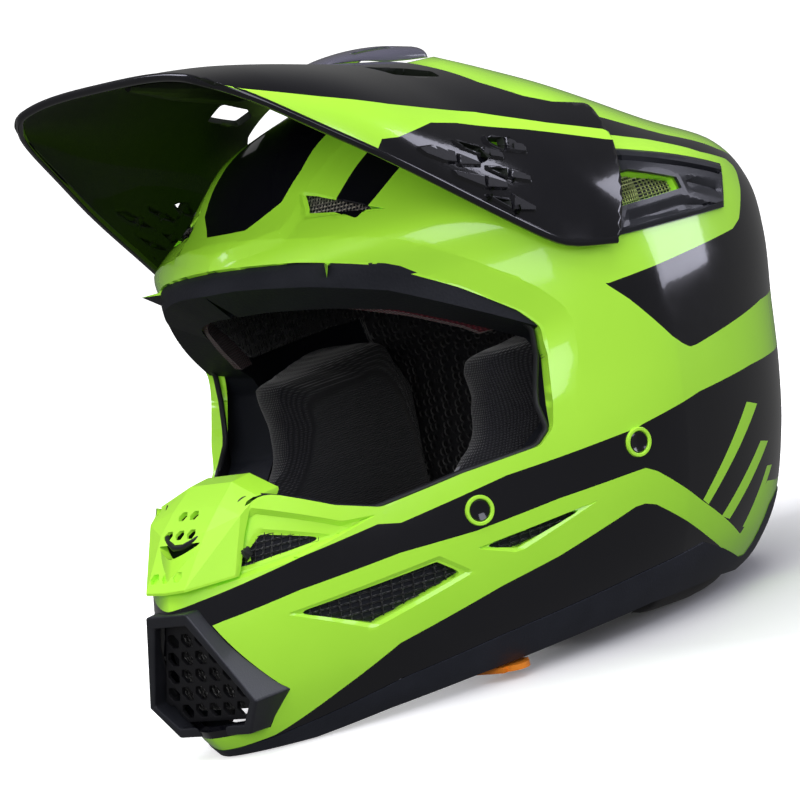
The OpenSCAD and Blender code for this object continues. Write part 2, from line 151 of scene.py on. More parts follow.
def place_of(tree, scale=(1, 1, 1)):
    """Object coordinates, stretched by scale."""
    coords = node(tree, "ShaderNodeTexCoord")
    mapping = node(tree, "ShaderNodeMapping", Scale=scale)
    tree.links.new(coords.outputs["Object"], mapping.inputs["Vector"])
    return mapping.outputs["Vector"]


def noise(tree, vector, scale, detail=3.0, rough=0.5):
    tex = node(tree, "ShaderNodeTexNoise", Scale=scale, Detail=detail, Roughness=rough)
    tree.links.new(vector, tex.inputs["Vector"])
    return tex.outputs["Fac"]


def ramp(tree, value, low, high, colour_low, colour_high):
    """A smooth change of colour as value goes from low to high."""
    made = node(tree, "ShaderNodeValToRGB")
    made.color_ramp.elements[0].position = low
    made.color_ramp.elements[1].position = high
    made.color_ramp.elements[0].color = (*colour_low, 1)
    made.color_ramp.elements[1].color = (*colour_high, 1)
    tree.links.new(value, made.inputs["Fac"])
    return made.outputs["Color"]


def spread(tree, value, low, high):
    made = node(tree, "ShaderNodeMapRange")
    made.inputs["To Min"].default_value = low
    made.inputs["To Max"].default_value = high
    tree.links.new(value, made.inputs["Value"])
    return made.outputs["Result"]


def bump(tree, shader, height, strength, distance=0.001, socket="Normal"):
    made = node(tree, "ShaderNodeBump", Strength=strength, Distance=distance)
    tree.links.new(height, made.inputs["Height"])
    tree.links.new(made.outputs["Normal"], shader.inputs[socket])


def lacquer(name, colour, deeper, rough=0.22, coat=1.0, glow=None):
    """Clear-coated paint: faint cloudiness below, orange peel and polishing haze above."""
    mat, tree, shader = new_material(name, colour, rough, coat=coat)
    place = place_of(tree)
    cloud = noise(tree, place, 14, 4)
    tree.links.new(ramp(tree, cloud, 0.35, 0.7, colour, deeper), shader.inputs["Base Color"])
    haze = noise(tree, place, 90, 5, 0.65)
    tree.links.new(spread(tree, haze, rough - 0.05, rough + 0.09), shader.inputs["Roughness"])
    peel = noise(tree, place, 420, 2)
    bump(tree, shader, peel, 0.035, 0.0004, "Coat Normal")
    # glow is a painted glow: emission that lifts the paint in shade as much as in light, so the
    # part shines without a lamp
    if glow:
        shader.inputs["Emission Color"].default_value = (*glow, 1)
        shader.inputs["Emission Strength"].default_value = 1.0
    return mat


def moulded(name, colour, rough, grain=900, strength=0.25, coat=0.0):
    """Moulded plastic or rubber with a fine even grain and a little rubbed shine."""
    mat, tree, shader = new_material(name, colour, rough, coat=coat)
    place = place_of(tree)
    rub = noise(tree, place, 32, 5, 0.6)
    tree.links.new(spread(tree, rub, rough - 0.12, rough + 0.12), shader.inputs["Roughness"])
    lighter = tuple(min(1, c * 1.5 + 0.004) for c in colour)
    tree.links.new(ramp(tree, rub, 0.4, 0.85, colour, lighter), shader.inputs["Base Color"])
    tex = node(tree, "ShaderNodeTexVoronoi", Scale=grain)
    tree.links.new(place, tex.inputs["Vector"])
    bump(tree, shader, tex.outputs["Distance"], strength, 0.0003)
    return mat


def woven(name, dark, light, pitch):
    """Plain weave: threads over and under on a grid of the given pitch."""
    mat, tree, shader = new_material(name, dark, 0.85, sheen=0.25)
    place = place_of(tree)
    across = node(tree, "ShaderNodeTexWave", wave_type="BANDS", bands_direction="X",
                  Scale=0.31 / pitch, Distortion=0.4, Detail=1.0)
    along = node(tree, "ShaderNodeTexWave", wave_type="BANDS", bands_direction="Z",
                 Scale=0.31 / pitch, Distortion=0.4, Detail=1.0)
    for wave in (across, along):
        tree.links.new(place, wave.inputs["Vector"])
    both = node(tree, "ShaderNodeMath", operation="MULTIPLY")
    tree.links.new(across.outputs["Fac"], both.inputs[0])
    tree.links.new(along.outputs["Fac"], both.inputs[1])
    tree.links.new(ramp(tree, both.outputs[0], 0.05, 0.8, dark, light),
                   shader.inputs["Base Color"])
    bump(tree, shader, both.outputs[0], 0.8, 0.0005)
    return mat


def knitted(name, dark, light, cell):
    """Open sports mesh: rounded holes in a net of thick soft threads."""
    mat, tree, shader = new_material(name, dark, 0.9, sheen=0.4)
    place = place_of(tree, (1, 1, 0.72))
    holes = node(tree, "ShaderNodeTexVoronoi", Scale=1 / cell, Randomness=0.32)
    tree.links.new(place, holes.inputs["Vector"])
    fuzz = noise(tree, place, 1600, 3, 0.7)
    net = ramp(tree, holes.outputs["Distance"], 0.30, 0.52, (0, 0, 0), (1, 1, 1))
    mix = node(tree, "ShaderNodeMix", data_type="RGBA")
    tree.links.new(net, mix.inputs["Factor"])
    mix.inputs["A"].default_value = (*dark, 1)
    tree.links.new(ramp(tree, fuzz, 0.3, 0.75, tuple(0.6 * c for c in light), light),
                   mix.inputs["B"])
    tree.links.new(mix.outputs["Result"], shader.inputs["Base Color"])
    height = node(tree, "ShaderNodeMath", operation="MULTIPLY_ADD")
    height.inputs[1].default_value = 0.35
    tree.links.new(fuzz, height.inputs[0])
    tree.links.new(net, height.inputs[2])
    bump(tree, shader, height.outputs[0], 0.9, 0.0012)
    return mat


def brushed(name, colour):
    """Polished wire with fine drawing marks."""
    mat, tree, shader = new_material(name, colour, 0.24, metal=1.0)
    place = place_of(tree, (1, 6, 6))
    marks = noise(tree, place, 900, 3)
    tree.links.new(spread(tree, marks, 0.16, 0.36), shader.inputs["Roughness"])
    bump(tree, shader, marks, 0.12, 0.0001)
    return mat


def floor_material():
    """White that glows more with distance, so the backdrop stays clean behind the shadow."""
    mat, tree, shader = new_material("floor_white", (0.90, 0.90, 0.91), 0.55)
    place = place_of(tree)
    haze = noise(tree, place, 9, 3)
    tree.links.new(spread(tree, haze, 0.5, 0.6), shader.inputs["Roughness"])
    far = node(tree, "ShaderNodeVectorMath", operation="DISTANCE")
    far.inputs[1].default_value = (0.14, 0.14, 0)
    tree.links.new(place, far.inputs[0])
    glow = node(tree, "ShaderNodeMapRange")
    glow.inputs["From Min"].default_value = 0.16
    glow.inputs["From Max"].default_value = 0.44
    glow.inputs["To Min"].default_value = 0.02
    glow.inputs["To Max"].default_value = 1.0
    tree.links.new(far.outputs["Value"], glow.inputs["Value"])
    shader.inputs["Emission Color"].default_value = (1, 1, 1, 1)
    tree.links.new(glow.outputs["Result"], shader.inputs["Emission Strength"])
    return mat


FLUO = (0.47, 0.88, 0.06)
FLUO_DEEP = (0.43, 0.84, 0.05)
FLUO_PAINTED_GLOW = (0.03, 0.10, 0.002)  # painted glow: emission that brightens the fluorescent paint in shade as well as in light, standing in for the pigment's fluorescence
M = {
    "paint": lacquer("paint_fluo", FLUO, FLUO_DEEP, glow=FLUO_PAINTED_GLOW),
    "black": lacquer("paint_black", (0.003, 0.003, 0.005), (0.005, 0.005, 0.008), 0.12),
    "under": moulded("peak_underside", (0.003, 0.005, 0.002), 0.5, 900, 0.12),
    "inner": moulded("shell_inside", (0.012, 0.012, 0.014), 0.6),
    "guard": lacquer("guard_fluo", FLUO, FLUO_DEEP, 0.34, 0.45, FLUO_PAINTED_GLOW),
    "trim": moulded("matte_trim", (0.016, 0.018, 0.026), 0.48, 1100, 0.22),
    "frame": moulded("vent_frame", (0.016, 0.017, 0.022), 0.36, 1300, 0.12, 0.25),
    "rubber": moulded("rubber", (0.010, 0.010, 0.012), 0.42, 1500, 0.15),
    "foam": moulded("coated_foam", (0.008, 0.009, 0.013), 0.66, 700, 0.3),
    "brow": woven("brow_mesh_weave", (0.10, 0.09, 0.08), (0.55, 0.50, 0.42), 0.0016),
    "khaki": woven("vent_mesh_weave", (0.16, 0.20, 0.05), (0.62, 0.72, 0.25), 0.0016),
    "dark_mesh": woven("chin_mesh_weave", (0.004, 0.004, 0.005), (0.025, 0.025, 0.03), 0.0016),
    "pad": knitted("pad_knit", (0.005, 0.005, 0.007), (0.16, 0.16, 0.19), 0.0030),
    "lining": knitted("lining_knit", (0.003, 0.003, 0.004), (0.016, 0.016, 0.020), 0.0030),
    "cover": woven("pad_cover", (0.006, 0.006, 0.008), (0.020, 0.020, 0.025), 0.0010),
    "thread": woven("seam_thread", (0.03, 0.03, 0.034), (0.11, 0.11, 0.12), 0.0006),
    "red": woven("red_lining", (0.03, 0.0, 0.004), (0.11, 0.001, 0.010), 0.0011),
    "webbing": woven("strap_webbing", (0.010, 0.010, 0.012), (0.05, 0.05, 0.055), 0.0016),
    "neck": moulded("neck_cover", (0.014, 0.014, 0.017), 0.55, 800, 0.35),
    "steel": brushed("ring_steel", (0.62, 0.62, 0.64)),
    "orange": moulded("tab_orange", (0.80, 0.22, 0.015), 0.4, 900, 0.2, 0.2),
    "snap": moulded("snap_red", (0.32, 0.01, 0.03), 0.35, 900, 0.15, 0.3),
    "scoop": lacquer("scoop_grey", (0.085, 0.083, 0.115), (0.105, 0.102, 0.14), 0.2),
    "filter": knitted("filter_foam", (0.002, 0.002, 0.003), (0.018, 0.018, 0.02), 0.0022),
}

# ---- The shell's surface ----
# Height, front, back, half width, widest line, nose shape, tail shape
LEVELS = [
    (0, -163, 137, 82, 27, 1.6, 2.4), (10, -171, 151, 94, 27, 1.55, 2.4),
    (30, -178, 163, 108, 27, 1.5, 2.4), (60, -179, 171, 118, 29, 1.45, 2.4),
    (90, -168, 176, 123, 31, 1.45, 2.4), (120, -151, 180, 125, 33, 1.45, 2.4),
    (150, -135, 183, 125, 35, 1.5, 2.5), (175, -123, 181.8, 122, 37, 1.6, 2.5),
    (196, -115, 169, 117, 39, 1.75, 2.25), (212, -90, 139, 99, 39, 1.9, 2.1),
    (228, -73, 110, 81, 39, 2, 2), (240, -57, 89, 63, 38, 2, 2),
    (250, -36, 75, 39, 40, 2, 2.05), (257, -8, 65, 21, 42, 2, 2.1), (261.5, 22, 58, 10, 42, 2, 2)]
TOP = 261.5
WIDEST_Z = 120
CROWN_RISE = 137
SHELL_T = 3.5
LIP_T = 8.0  # thickness along the rim of the eye port


def eased(table, v):
    """The row of the table at v, its first column, on smooth curves through the rows."""
    v = min(max(v, table[0][0]), table[-1][0])
    k = max(i for i in range(len(table) - 1) if table[i][0] <= v)
    a, b = table[k], table[k + 1]
    p, q = table[max(0, k - 1)], table[min(len(table) - 1, k + 2)]
    span = b[0] - a[0]
    t = (v - a[0]) / span
    row = []
    for c in range(1, len(a)):
        slope_a = (b[c] - p[c]) / (b[0] - p[0]) * span
        slope_b = (q[c] - a[c]) / (q[0] - a[0]) * span
        row.append(a[c] * (2 * t ** 3 - 3 * t ** 2 + 1) + slope_a * (t ** 3 - 2 * t ** 2 + t)
                   + b[c] * (3 * t ** 2 - 2 * t ** 3) + slope_b * (t ** 3 - t ** 2))
    return row


def crown_share(z):
    """How far z has come on the way from the widest level to the crown."""
    return max(0, (z - WIDEST_Z) / CROWN_RISE)


def shell_point(z, angle, depth):
    """A point on the left half, angle 0 at the front and 180 at the back."""
    front, back, half, mid, nose, tail = eased(LEVELS, z)
    high = crown_share(z)
    inset = depth * (1 - 0.75 * high)
    c, s = math.cos(math.radians(angle)), math.sin(math.radians(angle))
    power = 2 / (nose if c > 0 else tail)
    x = (half - inset) * abs(s) ** power
    y = (mid - (mid - front - inset) * c ** power if c > 0
         else mid + (back - inset - mid) * abs(c) ** power)
    return Vector((max(0, x), y, z - depth * high))


def thick(z, low, high):
    """Depth of the foam lining: low down low, high at brow and crown."""
    return low + (high - low) * min(1, max(0, (z - 12) / 80))


def half_skin(depth, z0, z1=TOP, columns=96, step=3.0, close_top=True):
    """Left half of a surface parallel to the shell, as a bmesh in millimetres.

    depth is a number, or a pair for a lining.
    """
    bm = bmesh.new()
    rows = max(2, round((z1 - z0) / step))
    grid = []
    for r in range(rows + 1):
        z = z0 + (z1 - z0) * r / rows
        d = depth if not isinstance(depth, tuple) else thick(z, *depth)
        grid.append([bm.verts.new(shell_point(z, 180 * c / columns, d))
                     for c in range(columns + 1)])
    for r in range(rows):
        for c in range(columns):
            bm.faces.new((grid[r][c], grid[r][c + 1], grid[r + 1][c + 1], grid[r + 1][c]))
    if close_top and z1 >= TOP:
        d = depth if not isinstance(depth, tuple) else depth[1]
        peak = bm.verts.new((0, 41, TOP + 0.4 - d * crown_share(TOP)))
        for c in range(columns):
            bm.faces.new((grid[-1][c], grid[-1][c + 1], peak))
    return bm


# ---- Cutting outlines into a mesh ----
SIDE = (1, 2)
FRONT = (0, 2)
PLAN = (0, 1)


def rounded(outline, radius, steps=4):
    """The outline with its corners rounded."""
    points = [Vector(p) for p in outline]
    result = []
    for i, b in enumerate(points):
        a, c = points[i - 1], points[(i + 1) % len(points)]
        u, v = (a - b).normalized(), (c - b).normalized()
        half = math.acos(min(1, max(-1, u.dot(v)))) / 2
        reach = min(radius / max(0.05, math.tan(half)), (a - b).length * 0.45,
                    (c - b).length * 0.45)
        start, end = b + u * reach, b + v * reach
        for k in range(steps + 1):
            t = k / steps
            result.append(start * (1 - t) ** 2 + b * 2 * t * (1 - t) + end * t ** 2)
    return result


def grown(outline, by):
    """The outline moved outwards by a distance, or inwards when it is negative."""
    points = [Vector(p) for p in outline]
    area = sum(points[i - 1].cross(points[i]) for i in range(len(points)))
    turn = 1 if area > 0 else -1
    result = []
    for i, b in enumerate(points):
        a, c = points[i - 1], points[(i + 1) % len(points)]
        u, v = (b - a).normalized(), (c - b).normalized()
        n = Vector((u.y, -u.x)) * turn
        m = Vector((v.y, -v.x)) * turn
        bis = n + m
        result.append(b + bis * (by / max(0.3, bis.dot(n))) if bis.length > 1e-6 else b)
    return result


def inside(outline, x, y):
    hit = False
    for i, (bx, by) in enumerate(outline):
        ax, ay = outline[i - 1]
        if (ay > y) != (by > y) and x < (bx - ax) * (y - ay) / (by - ay) + ax:
            hit = not hit
    return hit


def cut(bm, outline, axes=SIDE, reach=5.0, only=None):
    """Cut the outline's edges into the mesh, looking along the axis that it leaves out."""
    i, j = axes
    points = [Vector(p) for p in outline]
    lo = Vector((min(p.x for p in points), min(p.y for p in points)))
    hi = Vector((max(p.x for p in points), max(p.y for p in points)))
    near = set()
    for f in bm.faces:
        c = f.calc_center_median()
        if (lo.x - 9 < c[i] < hi.x + 9 and lo.y - 9 < c[j] < hi.y + 9
                and (only is None or only(c))):
            near.add(f)
    for k, b in enumerate(points):
        a = points[k - 1]
        along = b - a
        length = along.length
        if length < 1e-6:
            continue
        along /= length
        faces = []
        for f in near:
            if not f.is_valid:
                continue
            c = f.calc_center_median()
            p = Vector((c[i] - a.x, c[j] - a.y))
            if -reach < p.dot(along) < length + reach and abs(p.cross(along)) < reach:
                faces.append(f)
        if not faces:
            continue
        normal, place = [0, 0, 0], [0, 0, 0]
        normal[i], normal[j] = -along.y, along.x
        place[i], place[j] = a.x, a.y
        geom = faces + list({e for f in faces for e in f.edges}) \
            + list({v for f in faces for v in f.verts})
        done = bmesh.ops.bisect_plane(bm, geom=geom, dist=1e-4, plane_co=place,
                                      plane_no=normal)
        near = {f for f in near if f.is_valid}
        for e in done["geom_cut"]:
            if isinstance(e, bmesh.types.BMEdge):
                near.update(e.link_faces)


def faces_inside(bm, outline, axes=SIDE, only=None):
    i, j = axes
    found = []
    flat = [(p[0], p[1]) for p in outline]
    for f in bm.faces:
        c = f.calc_center_median()
        if (only is None or only(c)) and inside(flat, c[i], c[j]):
            found.append(f)
    return found


def paint(bm, outline, slot, axes=SIDE, only=None):
    cut(bm, outline, axes, only=only)
    for f in faces_inside(bm, outline, axes, only):
        f.material_index = slot


def pierce(bm, outline, axes=SIDE, only=None):
    cut(bm, outline, axes, only=only)
    bmesh.ops.delete(bm, geom=faces_inside(bm, outline, axes, only), context="FACES")


def keep(bm, outline, axes=SIDE):
    """Cut out the outline and drop what is outside it."""
    cut(bm, outline, axes)
    stay = set(faces_inside(bm, outline, axes))
    bmesh.ops.delete(bm, geom=[f for f in bm.faces if f not in stay], context="FACES")


def edge_distance(outline, x, y):
    p = Vector((x, y, 0))
    best = 1e9
    for k, b in enumerate(outline):
        a = outline[k - 1]
        a3, b3 = Vector((a[0], a[1], 0)), Vector((b[0], b[1], 0))
        near, t = intersect_point_line(p, a3, b3)
        near = a3 if t < 0 else b3 if t > 1 else near
        best = min(best, (p - near).length)
    return best


def press(bm, outline, height, band, axes=SIDE, only=None, within=True, fade=None):
    """Raise the mesh inside an outline by a height, sloping over a band at its edge.

    With within false, the slope lies outside the outline and dies away over the band.
    fade gives the share of the height at a point, where it changes along the outline.
    """
    i, j = axes
    rim = grown(outline, -band if within else band)
    cut(bm, outline, axes, only=only)
    cut(bm, rim, axes, only=only)
    bm.normal_update()
    outer = outline if within else rim
    flat = [(p[0], p[1]) for p in outer]
    core = [(p[0], p[1]) for p in (rim if within else outline)]
    moves = []
    for v in bm.verts:
        if only is not None and not only(v.co):
            continue
        x, y = v.co[i], v.co[j]
        if not inside(flat, x, y):
            continue
        t = 1.0
        if not inside(core, x, y):
            t = min(1.0, edge_distance(outer, x, y) / band)
        if fade:
            t *= min(1.0, max(0.0, fade(v.co)))
        moves.append((v, v.normal * height * t))
    for v, move in moves:
        v.co += move


# ---- From bmesh to object ----
def whole(bm):
    """Both halves from the left one, welded on the middle plane."""
    for v in bm.verts:
        if abs(v.co.x) < 0.02:
            v.co.x = 0
    bmesh.ops.mirror(bm, geom=bm.verts[:] + bm.edges[:] + bm.faces[:], merge_dist=0.01,
                     axis="X")
    return bm


def other_side(bm):
    for v in bm.verts:
        v.co.x = -v.co.x
    bmesh.ops.reverse_faces(bm, faces=bm.faces)
    return bm


def finish_mesh(bm, name, materials, angle=32):
    """Scale to metres and make the object, smooth except at edges past the angle."""
    bmesh.ops.remove_doubles(bm, verts=bm.verts, dist=0.002)
    bmesh.ops.recalc_face_normals(bm, faces=bm.faces)
    for v in bm.verts:
        v.co *= MM
    mesh = bpy.data.meshes.new(name)
    bm.to_mesh(mesh)
    bm.free()
    for key in materials:
        mesh.materials.append(M[key])
    obj = bpy.data.objects.new(name, mesh)
    bpy.context.collection.objects.link(obj)
    mesh.polygons.foreach_set("use_smooth", [True] * len(mesh.polygons))
    mesh.set_sharp_from_angle(angle=math.radians(angle))
    return obj


def solidify(obj, thickness, inner=0, rim=0):
    mod = obj.modifiers.new("thickness", "SOLIDIFY")
    mod.thickness = thickness * MM
    mod.offset = -1
    mod.material_offset = inner
    mod.material_offset_rim = rim
    mod.use_even_offset = False
    return mod


def soften(obj, width, segments=2, angle=30):
    mod = obj.modifiers.new("soft_edges", "BEVEL")
    mod.width = width * MM
    mod.segments = segments
    mod.limit_method = "ANGLE"
    mod.angle_limit = math.radians(angle)
    mod.harden_normals = False
    return mod


def even_shading(obj):
    mod = obj.modifiers.new("even_shading", "WEIGHTED_NORMAL")
    mod.keep_sharp = True
    mod.weight = 80


def ride(obj, body, slot, *replaced):
    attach(obj, body)
    if replaced:
        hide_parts(*replaced)


def tube(name, points, radius, material, closed=False, sides=8):
    """A round rod swept through the points."""
    pts = [Vector(p) for p in points]
    count = len(pts)
    bm = bmesh.new()
    rings = []
    for k, p in enumerate(pts):
        before = pts[k - 1] if k or closed else p
        after = pts[(k + 1) % count] if k < count - 1 or closed else p
        d = (after - before).normalized()
        side = d.cross(Vector((0, 0, 1)))
        if side.length < 0.2:
            side = d.cross(Vector((0, 1, 0)))
        side.normalize()
        up = side.cross(d)
        if rings:
            # keep the ring from turning against the one before it
            ref = rings[-1][1]
            side = (ref - d * ref.dot(d)).normalized()
            up = side.cross(d)
        ring = [bm.verts.new(p + (side * math.cos(a) + up * math.sin(a)) * radius)
                for a in (2 * math.pi * s / sides for s in range(sides))]
        rings.append((ring, side))
    for k in range(count if closed else count - 1):
        r0, r1 = rings[k][0], rings[(k + 1) % count][0]
        for s in range(sides):
            bm.faces.new((r0[s], r0[(s + 1) % sides], r1[(s + 1) % sides], r1[s]))
    if not closed:
        bm.faces.new(rings[0][0])
        bm.faces.new(rings[-1][0])
    return finish_mesh(bm, name, [material], 60)


# ---- Outlines: (back, up) from the side, (left, up) from the front, (left, back) in plan ----
FACE_PORT = [(-230, 50), (-160, 93), (-140, 106), (-122, 94), (-108, 88.5), (-75, 93),
             (-42, 95), (-35, 101), (-27, 131), (-26, 143), (-33, 152), (-52, 168), (-76, 185),
             (-97, 194), (-112, 199), (-230, 206)]
FOAM_PORT = [(-230, 42), (-158, 86), (-138, 99.5), (-122, 90), (-108, 85), (-75, 90),
             (-38, 92), (-24, 101), (-18, 131), (-24, 142), (-50, 158), (-75, 174),
             (-97, 183), (-112, 188), (-230, 196)]
SEAM = [(-260, 2), (-170, 3), (-156, 5), (-111, 15.5), (-68, 21), (-2, 27), (42, 30),
        (260, 31)]
HEM_EDGE = [(-260, 2), (-170, 3), (-156, 5), (-111, 15.5), (-68, 21), (-2, 27), (40, 30),
            (60, 22), (80, 13.5), (88, 12.5), (95, 17), (106, 31), (118, 34), (260, 31)]
HEM = [(260, 9), (110, 9), (88, 6), (66, 9), (13, 11), (-28, 9), (-79, 6),
       (-113, 3.5), (-140, 0), (-260, 0)]
VENT_PANEL = [(38.5, 207.5), (105, 186.5), (91, 168.5), (14, 171.5)]
VENT_WINDOW = [(29, 198), (61, 187.5), (62, 182.5), (22.5, 183)]
CHIN_VENTS = [[(-157, 78), (-145, 89.5), (-127, 82)],
              [(-146, 55), (-93, 60), (-84, 52.5), (-121, 42.5)],
              [(-75, 60.5), (-22, 65), (-60, 56)]]
BROW_VENT = [(33, 219.5), (66, 207), (36.5, 212)]
MOUTH_IN = [(-9.6, 60.6), (9.6, 60.6), (29, 25.7), (19.5, 14.8), (-19.5, 14.8), (-29, 25.7)]
MOUTH_ROUND = [(-12.5, 67), (12.5, 67), (33, 25), (22, 10), (-22, 10), (-33, 25)]
REAR_PANEL = [(-42, 118), (42, 118), (36, 170), (-36, 170)]
REAR_SLOTS = [[(8, z), (34, z - 3), (34, z + 3), (8, z + 6)] for z in (128, 142, 156)]

REAR_WRAP = [(-12, 190), (0, 168), (4, 153), (13, 144), (31, 123), (36, 119), (41, 116),
             (46, 116), (110, 123), (123, 123), (210, 128), (210, 176), (150, 183), (120, 192),
             (88, 205), (78, 211), (63, 219), (49, 226), (20, 240), (-10, 238)]
WRAP_STRIPE = [(-20, 196), (-2, 160), (4, 153), (95, 158), (104, 161), (118, 173), (124, 180),
               (124, 183), (119, 187), (96, 194), (69, 206), (43, 215), (20, 224), (-20, 224)]
MIDDLE_BAND = [(-200, 60), (-171, 69), (-139, 77), (-111, 82), (-103, 80), (-59, 87), (-35, 88),
               (2, 90), (7, 91), (42, 96), (87, 98), (123, 98), (210, 104), (210, 36),
               (115, 40), (98, 43), (86, 36), (73, 25), (37, 49), (10, 69), (4, 72), (-1, 72),
               (-39, 71), (-76, 68), (-106, 68), (-143, 64), (-168, 59), (-200, 50)]
SKIRT = [(-200, -5), (-155, 6), (-135, 18), (-112, 31), (-69, 42), (-42, 47), (-3, 57), (2, 57),
         (8, 55), (44, 31), (75, 12), (75, -10), (-200, -10)]
REAR_BARS = [[(38, 49), (42, 46), (88, 80), (78, 83)], [(53, 38), (60, 35), (98, 61), (89, 63)],
             [(74, 28), (79, 27), (104, 49), (97, 50)]]
BADGE = [(-6, 211), (12, 211), (24, 219), (27, 230), (27, 243), (30, 254), (-6, 256)]
BROW_STRIPE = [(45, 212), (47, 224), (50, 244), (72, 242), (63, 224), (58, 206)]
FOREHEAD = [(-8, 196), (34, 203), (38, 222), (43, 236), (50, 252), (-8, 256)]
CHIN_POCKET = [(-168, 73), (-151, 98), (-145, 101), (-122, 87), (-110, 86), (-139, 77)]


def in_front(c):
    return c.y < 0


def behind(c):
    return c.y > 60


def shell():
    """The painted outer shell with its colour bands, creases, pockets and vent holes."""
    bm = half_skin(0, 0, columns=120, step=2.6)
    pierce(bm, [(-260, -20), *HEM_EDGE, (260, -20)])
    port = rounded(FACE_PORT, 7)
    press(bm, port, -3.3, 11, within=False, fade=lambda c: (c.z - 112) / 25)
    press(bm, FOREHEAD, 1.6, 5, FRONT, in_front, fade=lambda c: (250 - c.z) / 14)
    pierce(bm, port)
    paint(bm, rounded(REAR_WRAP, 5), 1)
    paint(bm, rounded(WRAP_STRIPE, 4), 0)
    paint(bm, rounded(MIDDLE_BAND, 2), 1)
    paint(bm, rounded(SKIRT, 2), 1)
    for bar in REAR_BARS:
        paint(bm, bar, 0)
    paint(bm, rounded(BADGE, 2), 1, FRONT, in_front)
    paint(bm, rounded(BROW_STRIPE, 1), 1, FRONT, in_front)
    press(bm, CHIN_POCKET, -2.2, 2)
    for hole in CHIN_VENTS:
        press(bm, grown(hole, 2.2), -1.0, 1.6)
        pierce(bm, rounded(hole, 1.5))
    press(bm, grown(BROW_VENT, 1.6), -1.0, 1.2, FRONT, in_front)
    pierce(bm, BROW_VENT, FRONT, in_front)
    pierce(bm, VENT_WINDOW)
    paint(bm, MOUTH_ROUND, 1, FRONT, in_front)
    pierce(bm, grown(MOUTH_IN, 1.5), FRONT, in_front)
    for slot in REAR_SLOTS:
        pierce(bm, slot, FRONT, behind)
    obj = finish_mesh(whole(bm), "shell_skin", ["paint", "black", "inner"], 28)
    # the wall is thicker along the rim of the eye port
    lip = obj.vertex_groups.new(name="lip")
    uses = {}
    for f in obj.data.polygons:
        for key in f.edge_keys:
            uses[key] = uses.get(key, 0) + 1
    for i in {i for key, count in uses.items() if count == 1 for i in key}:
        y, z = obj.data.vertices[i].co.y / MM, obj.data.vertices[i].co.z / MM
        if y < -20 and z > 84 and edge_distance(port, y, z) < 5.0:
            lip.add([i], min(1.0, max(0.0, (z - 100) / 12)), "REPLACE")
    wall = solidify(obj, LIP_T, inner=2)
    wall.vertex_group = "lip"
    wall.thickness_vertex_group = SHELL_T / LIP_T
    soften(obj, 0.9, 3, 60)
    even_shading(obj)
    ride(obj, "helmet", "shell_paint", "outer_shell")


def patch(name, outline, depth, thickness, material, axes=SIDE, only=None, holes=(),
          shape=None, bevel=0.5, z=None, sides="both", step=2.6):
    """A piece that follows the shell, inside an outline, at a depth and of a thickness."""
    zs = [p[1] for p in outline]
    z0, z1 = z or (max(0, min(zs) - 4), min(TOP, max(zs) + 4))
    bm = half_skin(depth, z0, z1, columns=120, step=step, close_top=False)
    if only:
        bmesh.ops.delete(bm, geom=[f for f in bm.faces if not only(f.calc_center_median())],
                         context="FACES")
    keep(bm, outline, axes)
    for hole in holes:
        pierce(bm, hole, axes)
    if shape:
        shape(bm)
    if sides == "both":
        whole(bm)
    elif sides == "right":
        other_side(bm)
    obj = finish_mesh(bm, name, [material], 30)
    solidify(obj, thickness)
    if bevel:
        soften(obj, bevel)
    even_shading(obj)
    return obj


def each_side():
    return (("left", None), ("right", "right"))


def vent_frames():
    """Matte panels round the side vents, with facets sunk in above, behind and below."""
    def facets(bm):
        press(bm, grown(VENT_PANEL, -0.2), 1.6, 2.4)
        press(bm, [(36, 204), (101, 183.8), (99.5, 181.6), (35, 201.5)], -2.2, 0.9)
        press(bm, [(64, 189), (98, 179.5), (92.5, 171.5), (65, 181)], -2.0, 5.0)
        press(bm, [(21, 180.5), (60, 180), (86, 170.6), (18, 173)], -1.6, 4.0)
    for side, flag in each_side():
        obj = patch("vent_frame_" + side, VENT_PANEL, -1.7, 1.5, "frame",
                    holes=[VENT_WINDOW], shape=facets, sides=flag, step=2.0)
        ride(obj, "helmet", "matte_trim", "side_vent_frame_" + side)


def netting(name, outline, material, slot, replaced, axes=SIDE, only=None, pitch=2.0,
            wire=0.7, sides=None):
    """A real net of wires that follows the shell just under its inner face."""
    outlines = outline if isinstance(outline[0], list) else [outline]
    zs = [p[1] for o in outlines for p in o]
    columns = round(330 / pitch)
    bm = half_skin(4.2, max(30, min(zs) - 4), max(zs) + 4, columns=columns, step=pitch,
                   close_top=False)
    stay = set()
    for o in outlines:
        stay.update(faces_inside(bm, o, axes, only))
    bmesh.ops.delete(bm, geom=[f for f in bm.faces if f not in stay], context="FACES")
    if sides == "right":
        other_side(bm)
    obj = finish_mesh(bm, name, [material], 180)
    mod = obj.modifiers.new("wires", "WIREFRAME")
    mod.thickness = wire * MM
    mod.use_even_offset = False
    ride(obj, "helmet", slot, replaced)


def meshes():
    for side, flag in each_side():
        netting("brow_net_" + side, [(29, 223), (70, 208), (69, 204.5), (33, 208.5)], "brow",
                "brow_mesh", "brow_mesh_" + side, FRONT, in_front, 1.4, 0.75, flag)
        netting("vent_net_" + side, [(19, 201), (65, 190), (66, 179), (17, 179.5)], "khaki",
                "vent_mesh", "side_vent_mesh_" + side, pitch=1.5, wire=0.8, sides=flag)
        netting("chin_net_" + side, [[(-160, 75.5), (-146, 92.5), (-122, 81)],
                                     [(-150, 55), (-92, 63.5), (-78, 52), (-123, 39)],
                                     [(-78, 57), (-78, 64), (-16, 68), (-60, 53)]],
                "dark_mesh", "chin_mesh", "chin_mesh_" + side, pitch=2.6, wire=1.0, sides=flag)


